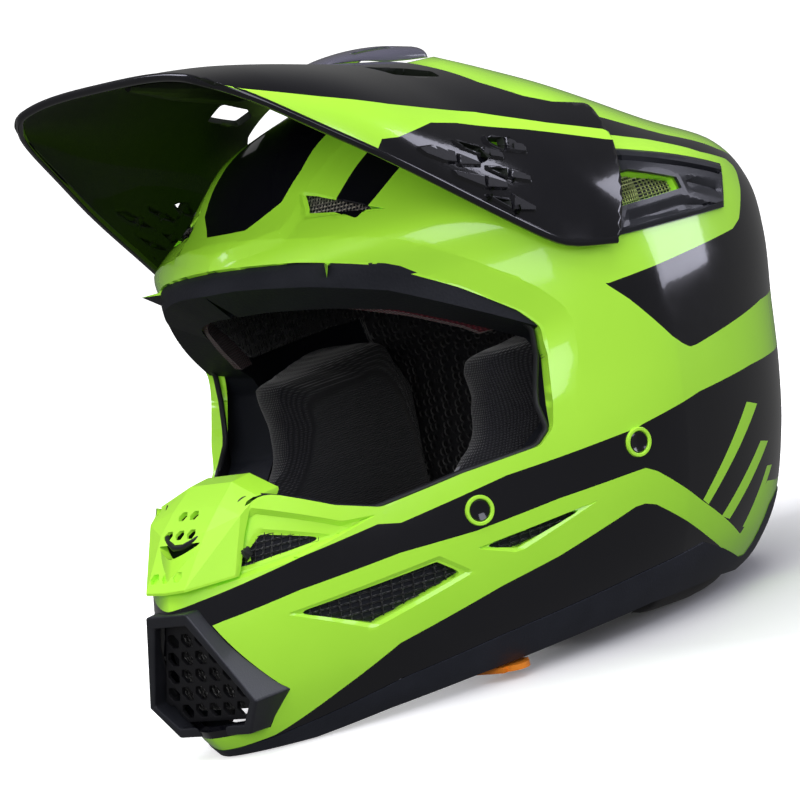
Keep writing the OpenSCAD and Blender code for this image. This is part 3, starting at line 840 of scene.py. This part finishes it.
def trims():
    below_seam = [(y, z - 0.3) for y, z in HEM_EDGE] + HEM
    skirt = patch("hem_trim", below_seam, -0.6, 5.8, "trim", z=(0, 38), bevel=0.9)
    ride(skirt, "helmet", "matte_trim", "lower_trim")

    def louvres(bm):
        # no height: it only cuts the panel's border into the mesh, ready for the slots
        press(bm, grown(REAR_PANEL, -0.2), 0.0, 2.0, FRONT)
        for s in REAR_SLOTS:
            press(bm, grown(s, 2.6), -0.8, 1.4, FRONT)
            pierce(bm, s, FRONT)
    rear = patch("rear_louvre", REAR_PANEL, -1.6, 1.3, "trim", FRONT, behind, shape=louvres)
    ride(rear, "helmet", "matte_trim", "rear_vent")
    # rubber edging, swept round the eye port
    path = []
    outline = rounded(FACE_PORT, 7, 6)
    dense = []
    for k, b in enumerate(outline):
        a = outline[k - 1]
        count = max(1, int((b - a).length / 4))
        dense += [a.lerp(b, t / count) for t in range(1, count + 1)]
    for p in dense:
        q = on_side(p.x, p.y, 3.6 + 6.2 * min(1.0, max(0.0, (p.y - 100) / 12)))
        if q is not None and q.x > 0.4:
            path.append(q)
    start = max(range(len(path)), key=lambda k: (path[k] - path[k - 1]).length)
    path = path[start:] + path[:start]
    loop = path + [Vector((-p.x, p.y, p.z)) for p in reversed(path)]
    edging = tube("port_edging", loop, 1.3, "rubber", closed=True, sides=10)
    ride(edging, "helmet", "port_rubber", "port_trim")


def on_side(y, z, depth=0):
    """The point of the left half at a side position, or None off its outline."""
    lifted = z
    for _ in range(3):
        high = crown_share(lifted)
        lifted = z + depth * high
    front, back, half, mid, nose, tail = eased(LEVELS, lifted)
    inset = depth * (1 - 0.75 * high)
    power = 2 / (nose if y < mid else tail)
    q = (mid - y) / (mid - front - inset) if y < mid else (y - mid) / (back - inset - mid)
    if q > 1:
        return None
    c = q ** (1 / power)
    return Vector(((half - inset) * math.sqrt(1 - c * c) ** power, y, z))


def place_in(co, depth):
    """Level and angle of a point of the left half that lies at the depth."""
    z = co.z
    d = depth
    for _ in range(4):
        d = thick(z, *depth) if isinstance(depth, tuple) else depth
        z = co.z + d * crown_share(z)
    front, back, _, mid, nose, tail = eased(LEVELS, z)
    inset = d * (1 - 0.75 * crown_share(z))
    ahead = co.y < mid
    power = 2 / (nose if ahead else tail)
    q = (mid - co.y) / (mid - front - inset) if ahead else (co.y - mid) / (back - inset - mid)
    c = min(1, max(0, q)) ** (1 / power)
    angle = math.degrees(math.acos(c))
    return z, angle if ahead else 180 - angle


def lined(bm, outer, inner, shape=None):
    """Close a half skin at the outer depth with its twin at the inner one."""
    twins = {}
    for v in bm.verts[:]:
        z, angle = place_in(v.co, outer)
        d = thick(z, *inner) if isinstance(inner, tuple) else inner
        twins[v] = bm.verts.new(shell_point(z, angle, d))
    faces = bm.faces[:]
    rim = [(e, e.link_faces[0]) for e in bm.edges if len(e.link_faces) == 1
           and not all(abs(v.co.x) < 0.02 for v in e.verts)]
    under = [bm.faces.new([twins[v] for v in reversed(f.verts)]) for f in faces]
    for e, f in rim:
        a, b = e.verts
        bm.faces.new((a, b, twins[b], twins[a]))
    if shape:
        bm.normal_update()
        shape(bm, under)
    return bm


def linings():
    foam = half_skin((5.5, 5.5), 10, columns=72, step=4)
    pierce(foam, rounded(FOAM_PORT, 5))
    pierce(foam, [(-260, -20), *[(y, z + 3) for y, z in SEAM], (260, -20)])
    pierce(foam, [(x * 1.12, z * 1.12 - 4) for x, z in MOUTH_IN], FRONT, in_front)
    lined(foam, (5.5, 5.5), (17, 30))
    obj = finish_mesh(whole(foam), "foam_lining", ["foam"], 40)
    soften(obj, 1.6, 3, 45)
    even_shading(obj)
    ride(obj, "helmet", "foam", "energy_liner")

    def quilt(bm, under):
        """Sewn channels between the padded fields of the crown liner."""
        for v in {v for f in under for v in f.verts}:
            wave = abs(math.sin(v.co.x / 22)) ** 0.35 * abs(math.cos((v.co.y - 10) / 26)) ** 0.35
            v.co -= v.normal * (-1.6 * wave)
    crown = half_skin((30.8, 30.8), 60, columns=80, step=3.4)
    pierce(crown, [(-260, -20), (74, -20), (74, 150), (-22, 150), (-34, 160), (-60, 176),
                   (-95, 192), (-260, 200)])
    lined(crown, (30.8, 30.8), (37.2, 37.2), quilt)
    obj = finish_mesh(whole(crown), "crown_lining", ["lining"], 60)
    soften(obj, 2.0, 3, 45)
    ride(obj, "helmet", "lining", "crown_liner")
    band = half_skin((30.8, 30.8), 90, columns=96, step=2.6)
    keep(band, [(-21, 149.2), (-33, 159), (-59, 175), (-94, 191), (-120, 191.8), (-120, 188),
                (-96, 180), (-60, 162), (-40, 150), (-34, 145.5), (-20, 145.5)])
    lined(band, (30.8, 30.8), (35, 35))
    obj = finish_mesh(whole(band), "head_band", ["red"], 50)
    soften(obj, 1.4, 3, 45)
    ride(obj, "helmet", "red_lining", "headband")


# ---- Peak ----
# Distance back, top, half width, base, squareness
PEAK_LEVELS = [(-150, 286, 66, 264, 3.2), (-143, 285.5, 67, 262, 3.2), (-128, 285, 73, 254, 3),
               (-110, 283.5, 80, 245, 2.8), (-80, 279.5, 93.5, 222, 2.5),
               (-44, 274, 105.5, 190, 2.25), (-20, 270.5, 114, 170, 2.15),
               (11, 266.5, 127, 158, 2.05), (45, 264.5, 131, 155, 2.05),
               (80, 258, 131, 150, 2.05)]
SCOOP_LEVELS = [(-20, 271.6, 7, 270.8, 2), (-12, 272.9, 11, 269.6, 2.1),
                (0, 273.6, 15, 267.9, 2.2), (10, 273.5, 18.5, 265.2, 2.3),
                (20, 272.5, 21, 263.6, 2.4), (32, 270, 23, 262.4, 2.4)]
PEAK_SIDE = [(-143.5, 300), (-143.5, 280.5), (-139.5, 276), (-20, 180.5), (-12, 174),
             (10, 170.5), (35.5, 211), (42, 228), (25, 232.5), (15, 238), (5, 248),
             (1.5, 260), (0, 300)]
PEAK_STRIPE = [(-139, 275), (-131, 271), (-99, 260), (-67, 250), (-19, 237), (10, 225),
               (35, 216), (44, 208), (31, 212), (-4, 225), (-36, 235), (-51, 238), (-63, 237),
               (-74, 236), (-82, 237), (-92, 226), (-150, 268)]
PEAK_CELLS = [
    [(-68, 230), (-59, 229), (-49, 224), (-51, 219), (-57, 221), (-65, 226)],
    [(-48, 223), (-39, 217), (-39, 215), (-51, 218)],
    [(-47, 229), (-43, 228), (-33, 223), (-36, 219), (-44, 224)],
    [(-32, 223), (-24, 218), (-25, 215), (-36, 219)],
    [(-28, 227), (-17, 225), (-20, 220), (-23, 218), (-29, 224)],
    [(-17, 224), (-10, 218), (-12, 215), (-21, 218)],
    [(-55, 217), (-40, 211), (-42, 206), (-54, 214)],
    [(-39, 211), (-30, 206), (-31, 203), (-42, 206)],
    [(-37, 215), (-26, 212), (-28, 208), (-29, 207), (-37, 213)],
    [(-25, 211), (-17, 206), (-18, 203), (-28, 207)],
    [(-44, 204), (-32, 199), (-33, 194), (-41, 201)],
    [(-30, 201), (-21, 193), (-22, 191), (-33, 194)]]
PEAK_OPEN = (2, 4, 8, 10)
PEAK_T = 3.2


def arch_half(levels, k, y_step):
    """Left half of a lofted arch, from its front level to its back one."""
    bm = bmesh.new()
    y0, y1 = levels[0][0], levels[-1][0]
    rows = round((y1 - y0) / y_step)
    grid = []
    for r in range(rows + 1):
        y = y0 + (y1 - y0) * r / rows
        top, half, base, n = eased(levels, y)
        line = []
        for i in range(k + 1):
            a = math.pi / 2 * i / k
            line.append(bm.verts.new((half * math.sin(a) ** (2 / n), y, base + (top - base)
                                      * max(0, math.cos(a)) ** (2 / n))))
        grid.append(line)
    for r in range(rows):
        for i in range(k):
            bm.faces.new((grid[r][i], grid[r + 1][i], grid[r + 1][i + 1], grid[r][i + 1]))
    return bm


def on_peak(y, z, thickness=0.0):
    top, half, base, n = eased(PEAK_LEVELS, y)
    q = min(1, max(0, (z - base) / (top - thickness - base)))
    c = q ** (n / 2)
    return Vector(((half - thickness) * math.sqrt(1 - c * c) ** (2 / n), y, z))


def peak():
    side = rounded(PEAK_SIDE, 3)
    bm = arch_half(PEAK_LEVELS, 64, 2.6)
    paint(bm, PEAK_STRIPE, 1)
    for k, cell in enumerate(PEAK_CELLS):
        shape = rounded(grown(cell, 0.4), 1.0, 2)
        press(bm, shape, -1.5, 1.0)
        for f in faces_inside(bm, grown(shape, -0.9)):
            f.material_index = 3
        if k in PEAK_OPEN:
            pierce(bm, grown(shape, -1.3))
    pierce(bm, rounded([(44, -34), (59, -31), (64, -8), (57, -5), (50, -14)], 2), PLAN)
    pierce(bm, rounded([(-9, -6), (9, -6), (13, 11), (-13, 11)], 2), PLAN)
    keep(bm, side)
    obj = finish_mesh(whole(bm), "peak_skin", ["black", "paint", "under", "inner",
                                                 "under", "under"], 28)
    solidify(obj, PEAK_T, inner=2, rim=2)
    even_shading(obj)
    ride(obj, "peak", "peak_black", "peak")

    # rolled rim along the front and lower edges
    edge = [Vector((x, -143.0, on_peak_top(-143.0, x))) for x in range(0, 60, 4)]
    for (ya, za), (yb, zb) in zip(PEAK_SIDE[1:5], PEAK_SIDE[2:6]):
        count = max(1, int(math.hypot(yb - ya, zb - za) / 4))
        edge += [on_peak(ya + (yb - ya) * t / count, za + (zb - za) * t / count, 1.4)
                 for t in range(count)]
    edge.append(on_peak(*PEAK_SIDE[5], 1.4))
    edge = smoothed(edge, 3)
    loop = [Vector((-p.x, p.y, p.z)) for p in reversed(edge[1:])] + edge
    rim = tube("peak_rim", loop, 1.9, "black", sides=12)
    ride(rim, "peak", "peak_black")

    scoop = arch_half(SCOOP_LEVELS, 28, 2.0)
    pierce(scoop, [(9, -2), (12, -2), (16, 20), (12.5, 20)], PLAN)
    obj = finish_mesh(whole(scoop), "scoop_skin", ["scoop"], 35)
    solidify(obj, 0.9)
    even_shading(obj)
    ride(obj, "peak", "scoop_grey", "peak_scoop")


def on_peak_top(y, x):
    top, half, base, n = eased(PEAK_LEVELS, y)
    s = min(1, x / half) ** (n / 2)
    return base + (top - base) * math.sqrt(1 - s * s) ** (2 / n) - 1.4


def smoothed(points, rounds):
    for _ in range(rounds):
        points = [points[0]] + [(a + b * 2 + c) / 4 for a, b, c
                                in zip(points, points[1:], points[2:])] + [points[-1]]
    return points


# ---- Pads, straps and small parts ----
# Air pressure in a cushion's cover, and how far in mm it may swell
SWELL = {"cheek_pad_left": (4.0, 5.0), "neck_roll": (3.0, 3.0)}


def cad_copy(name, node_name):
    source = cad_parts[node_name]
    obj = bpy.data.objects.new(name, source.data.copy())
    bpy.context.collection.objects.link(obj)
    obj.matrix_world = source.matrix_world.copy()
    return obj


def apply_modifiers(obj):
    graph = bpy.context.evaluated_depsgraph_get()
    mesh = bpy.data.meshes.new_from_object(obj.evaluated_get(graph))
    obj.modifiers.clear()
    obj.data = mesh
    return obj


def remeshed(obj, voxel, smooth=0, shrink=0.0):
    weld = obj.modifiers.new("weld", "WELD")
    weld.merge_threshold = 0.00002
    mod = obj.modifiers.new("remesh", "REMESH")
    mod.mode = "VOXEL"
    mod.voxel_size = voxel * MM
    if smooth:
        soft = obj.modifiers.new("smooth", "SMOOTH")
        soft.iterations = smooth
        soft.factor = 0.5
    apply_modifiers(obj)
    if shrink:
        mesh = obj.data
        moves = [v.co - v.normal * shrink * MM for v in mesh.vertices]
        for v, co in zip(mesh.vertices, moves):
            v.co = co
    return obj


def inflate(obj, pressure, cap):
    """Swell the cover with cloth and air pressure; no point moves further than the cap."""
    start = [v.co.copy() for v in obj.data.vertices]
    cloth = obj.modifiers.new("cloth", "CLOTH")
    cloth.settings.use_pressure = True
    cloth.settings.uniform_pressure_force = pressure
    cloth.settings.quality = 6
    cloth.settings.mass = 0.25
    cloth.settings.effector_weights.gravity = 0
    scene = bpy.context.scene
    for f in range(1, 21):
        scene.frame_set(f)
    apply_modifiers(obj)
    for v, s in zip(obj.data.vertices, start):
        move = v.co - s
        if move.length > cap * MM:
            v.co = s + move.normalized() * cap * MM
    scene.frame_set(1)


def smooth_faces(obj):
    obj.data.polygons.foreach_set("use_smooth", [True] * len(obj.data.polygons))
    obj.data.materials.clear()


def mirrored(obj, name):
    bm = bmesh.new()
    bm.from_mesh(obj.data)
    other_side(bm)
    mesh = bpy.data.meshes.new(name)
    bm.to_mesh(mesh)
    bm.free()
    for mat in obj.data.materials:
        mesh.materials.append(mat)
    twin = bpy.data.objects.new(name, mesh)
    bpy.context.collection.objects.link(twin)
    return twin


def cushion(name, node_name, voxel, smooth, shrink, *covers):
    """Soft copy of a CAD pad with rounded edges."""
    obj = remeshed(cad_copy(name, node_name), voxel, smooth, shrink)
    if node_name in SWELL:
        inflate(obj, *SWELL[node_name])
    smooth_faces(obj)
    for key in covers:
        obj.data.materials.append(M[key])
    return obj


def subdivide(obj):
    sub = obj.modifiers.new("subdivide", "SUBSURF")
    sub.levels = sub.render_levels = 1


def cheek_pads():
    pad = cushion("cheek_cushion_left", "cheek_pad_left", 4.5, 6, 2.2, "pad", "cover")
    # knit on the edge that faces forwards, woven cover on the rest
    for f in pad.data.polygons:
        f.material_index = 0 if f.center.y / MM < -50 and f.normal.y < -0.25 else 1
    twin = mirrored(pad, "cheek_cushion_right")
    for obj, side in ((pad, "left"), (twin, "right")):
        subdivide(obj)
        ride(obj, "cheek_pad_" + side, "pad_cloth", "cheek_pad_" + side)


def neck_pad():
    roll = cushion("neck_cushion", "neck_roll", 4.0, 4, 1.2, "neck")
    subdivide(roll)
    ride(roll, "helmet", "neck_cover", "neck_roll")


def filter_pad():
    foam = cushion("mouth_foam", "mouth_filter", 1.6, 2, 0.3, "filter")
    ride(foam, "helmet", "filter", "mouth_filter")


def ribbon(name, points, width, thickness, y, material):
    """A flat webbing strap along points (x, z), with rounded selvedges."""
    path = [Vector((x, 0, z)) for x, z in points]
    for _ in range(2):
        finer = [path[0]]
        for a, b in zip(path, path[1:]):
            finer += [a.lerp(b, 0.25), a.lerp(b, 0.75)]
        path = finer + [path[-1]]
    bm = bmesh.new()
    rings = []
    steps = 8
    for k, p in enumerate(path):
        d = (path[min(k + 1, len(path) - 1)] - path[max(k - 1, 0)]).normalized()
        up = Vector((-d.z, 0, d.x))
        ring = []
        for side in (1, -1):
            for s in range(steps + 1):
                v = (s / steps * 2 - 1) * side
                edge = math.sqrt(max(0, 1 - abs(v) ** 8))
                ring.append(bm.verts.new(p + Vector((0, y + v * width / 2, 0))
                                         + up * side * thickness / 2 * edge))
        rings.append(ring)
    for r0, r1 in zip(rings, rings[1:]):
        for s in range(len(r0)):
            n = (s + 1) % len(r0)
            bm.faces.new((r0[s], r0[n], r1[n], r1[s]))
    bm.faces.new(rings[0])
    bm.faces.new(rings[-1])
    return finish_mesh(bm, name, [material], 50)


def straps():
    turn = [(36 + 2.75 * math.sin(a), 6.4 - 2.75 * math.cos(a))
            for a in (math.radians(20 - 24 * k) for k in range(13))]
    left = ribbon("strap_webbing_left", [(77, 13.2), (66, 8.6), (52, 6.4), (42, 4.6), *turn[1:],
                                         (44, 8.8), (50, 8.9)], 24, 1.7, 2, "webbing")
    right = ribbon("strap_webbing_right", [(-77, 11.2), (-66, 6.6), (-52, 4.6), (-36, 4.2),
                                           (-10, 4.2), (-2, 4.4)], 24, 2.0, 2, "webbing")
    for obj, side in ((left, "left"), (right, "right")):
        ride(obj, "helmet", "webbing", "strap_" + side)
    # sewn rows where the webbing is doubled
    for k, (x0, x1, z) in enumerate([(41, 50, 9.9), (-34, -22, 5.4)]):
        for n, y in enumerate((-7, 11)):
            path = [(x0 + (x1 - x0) * t / 12, y + 0.3 * (-1) ** t, z - 0.1) for t in range(13)]
            thread = tube(f"strap_stitch_{k}_{n}", path, 0.35, "thread", sides=6)
            ride(thread, "helmet", "webbing")


def dress(node_name, key, bevel=0.0, segments=2):
    """Material, and softened edges, for a CAD node that stays."""
    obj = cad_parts[node_name]
    for s in obj.material_slots:
        s.link = "OBJECT"
        s.material = M[key]
    if bevel:
        weld = obj.modifiers.new("weld", "WELD")
        weld.merge_threshold = 0.00002
        soften(obj, bevel, segments, 28)
        even_shading(obj)


def shell_normal(y, z):
    p = on_side(y, z)
    return ((on_side(y + 1, z) - p).cross(on_side(y, z + 1) - p)).normalized()


def turned(bm, centre, axis, profile):
    """A turned part: (radius, height) points spun round the axis."""
    steps = 40
    axis = axis if axis.x > 0 else -axis
    u = axis.cross(Vector((0, 0, 1))).normalized()
    v = axis.cross(u)
    rings = [[bm.verts.new(centre + axis * h + (u * math.cos(a) + v * math.sin(a)) * r)
              for a in (2 * math.pi * k / steps for k in range(steps))] for r, h in profile]
    for low, high in zip(rings, rings[1:]):
        for k in range(steps):
            bm.faces.new((low[k], low[(k + 1) % steps], high[(k + 1) % steps], high[k]))
    return rings


def bosses():
    """Raised yellow rings round dished black plugs, low on each side."""
    ring, cap = bmesh.new(), bmesh.new()
    for y, z in ((-73, 76), (2, 84)):
        centre, axis = on_side(y, z), shell_normal(y, z)
        turned(ring, centre, axis, [(6.5, -2.0), (6.5, 0.7), (6.2, 1.2), (5.2, 1.2), (4.8, 0.8),
                                    (4.7, -2.0), (6.5, -2.0)])
        rings = turned(cap, centre, axis, [(4.6, -2.2), (4.6, 0.5), (4.2, 0.8), (3.4, 0.5),
                                           (1.6, 0.1), (0.4, 0.0)])
        cap.faces.new(rings[0])
        cap.faces.new(rings[-1])
    obj = finish_mesh(whole(ring), "boss_ring_set", ["guard"], 35)
    ride(obj, "helmet", "shell_paint", "boss_rings")
    obj = finish_mesh(whole(cap), "boss_cap_set", ["black"], 35)
    ride(obj, "helmet", "gloss_black", "boss_caps")


def small_parts():
    dress("nose_guard", "guard", 1.1, 3)
    dress("mouth_frame", "frame", 0.9, 3)
    dress("mouth_grille", "rubber", 0.35)
    dress("strap_snap", "snap", 0.5)
    dress("d_rings", "steel")
    dress("pivot_studs", "steel", 0.4)
    dress("peak_duct", "under")
    dress("peak_strut", "under", 0.6)
    dress("release_tab_left", "orange", 0.6)
    dress("release_tab_right", "orange", 0.6)


# ---- The scene ----
make_camera()
make_studio()
shell()
trims()
vent_frames()
meshes()
linings()
peak()
small_parts()
bosses()
straps()
filter_pad()
neck_pad()
cheek_pads()
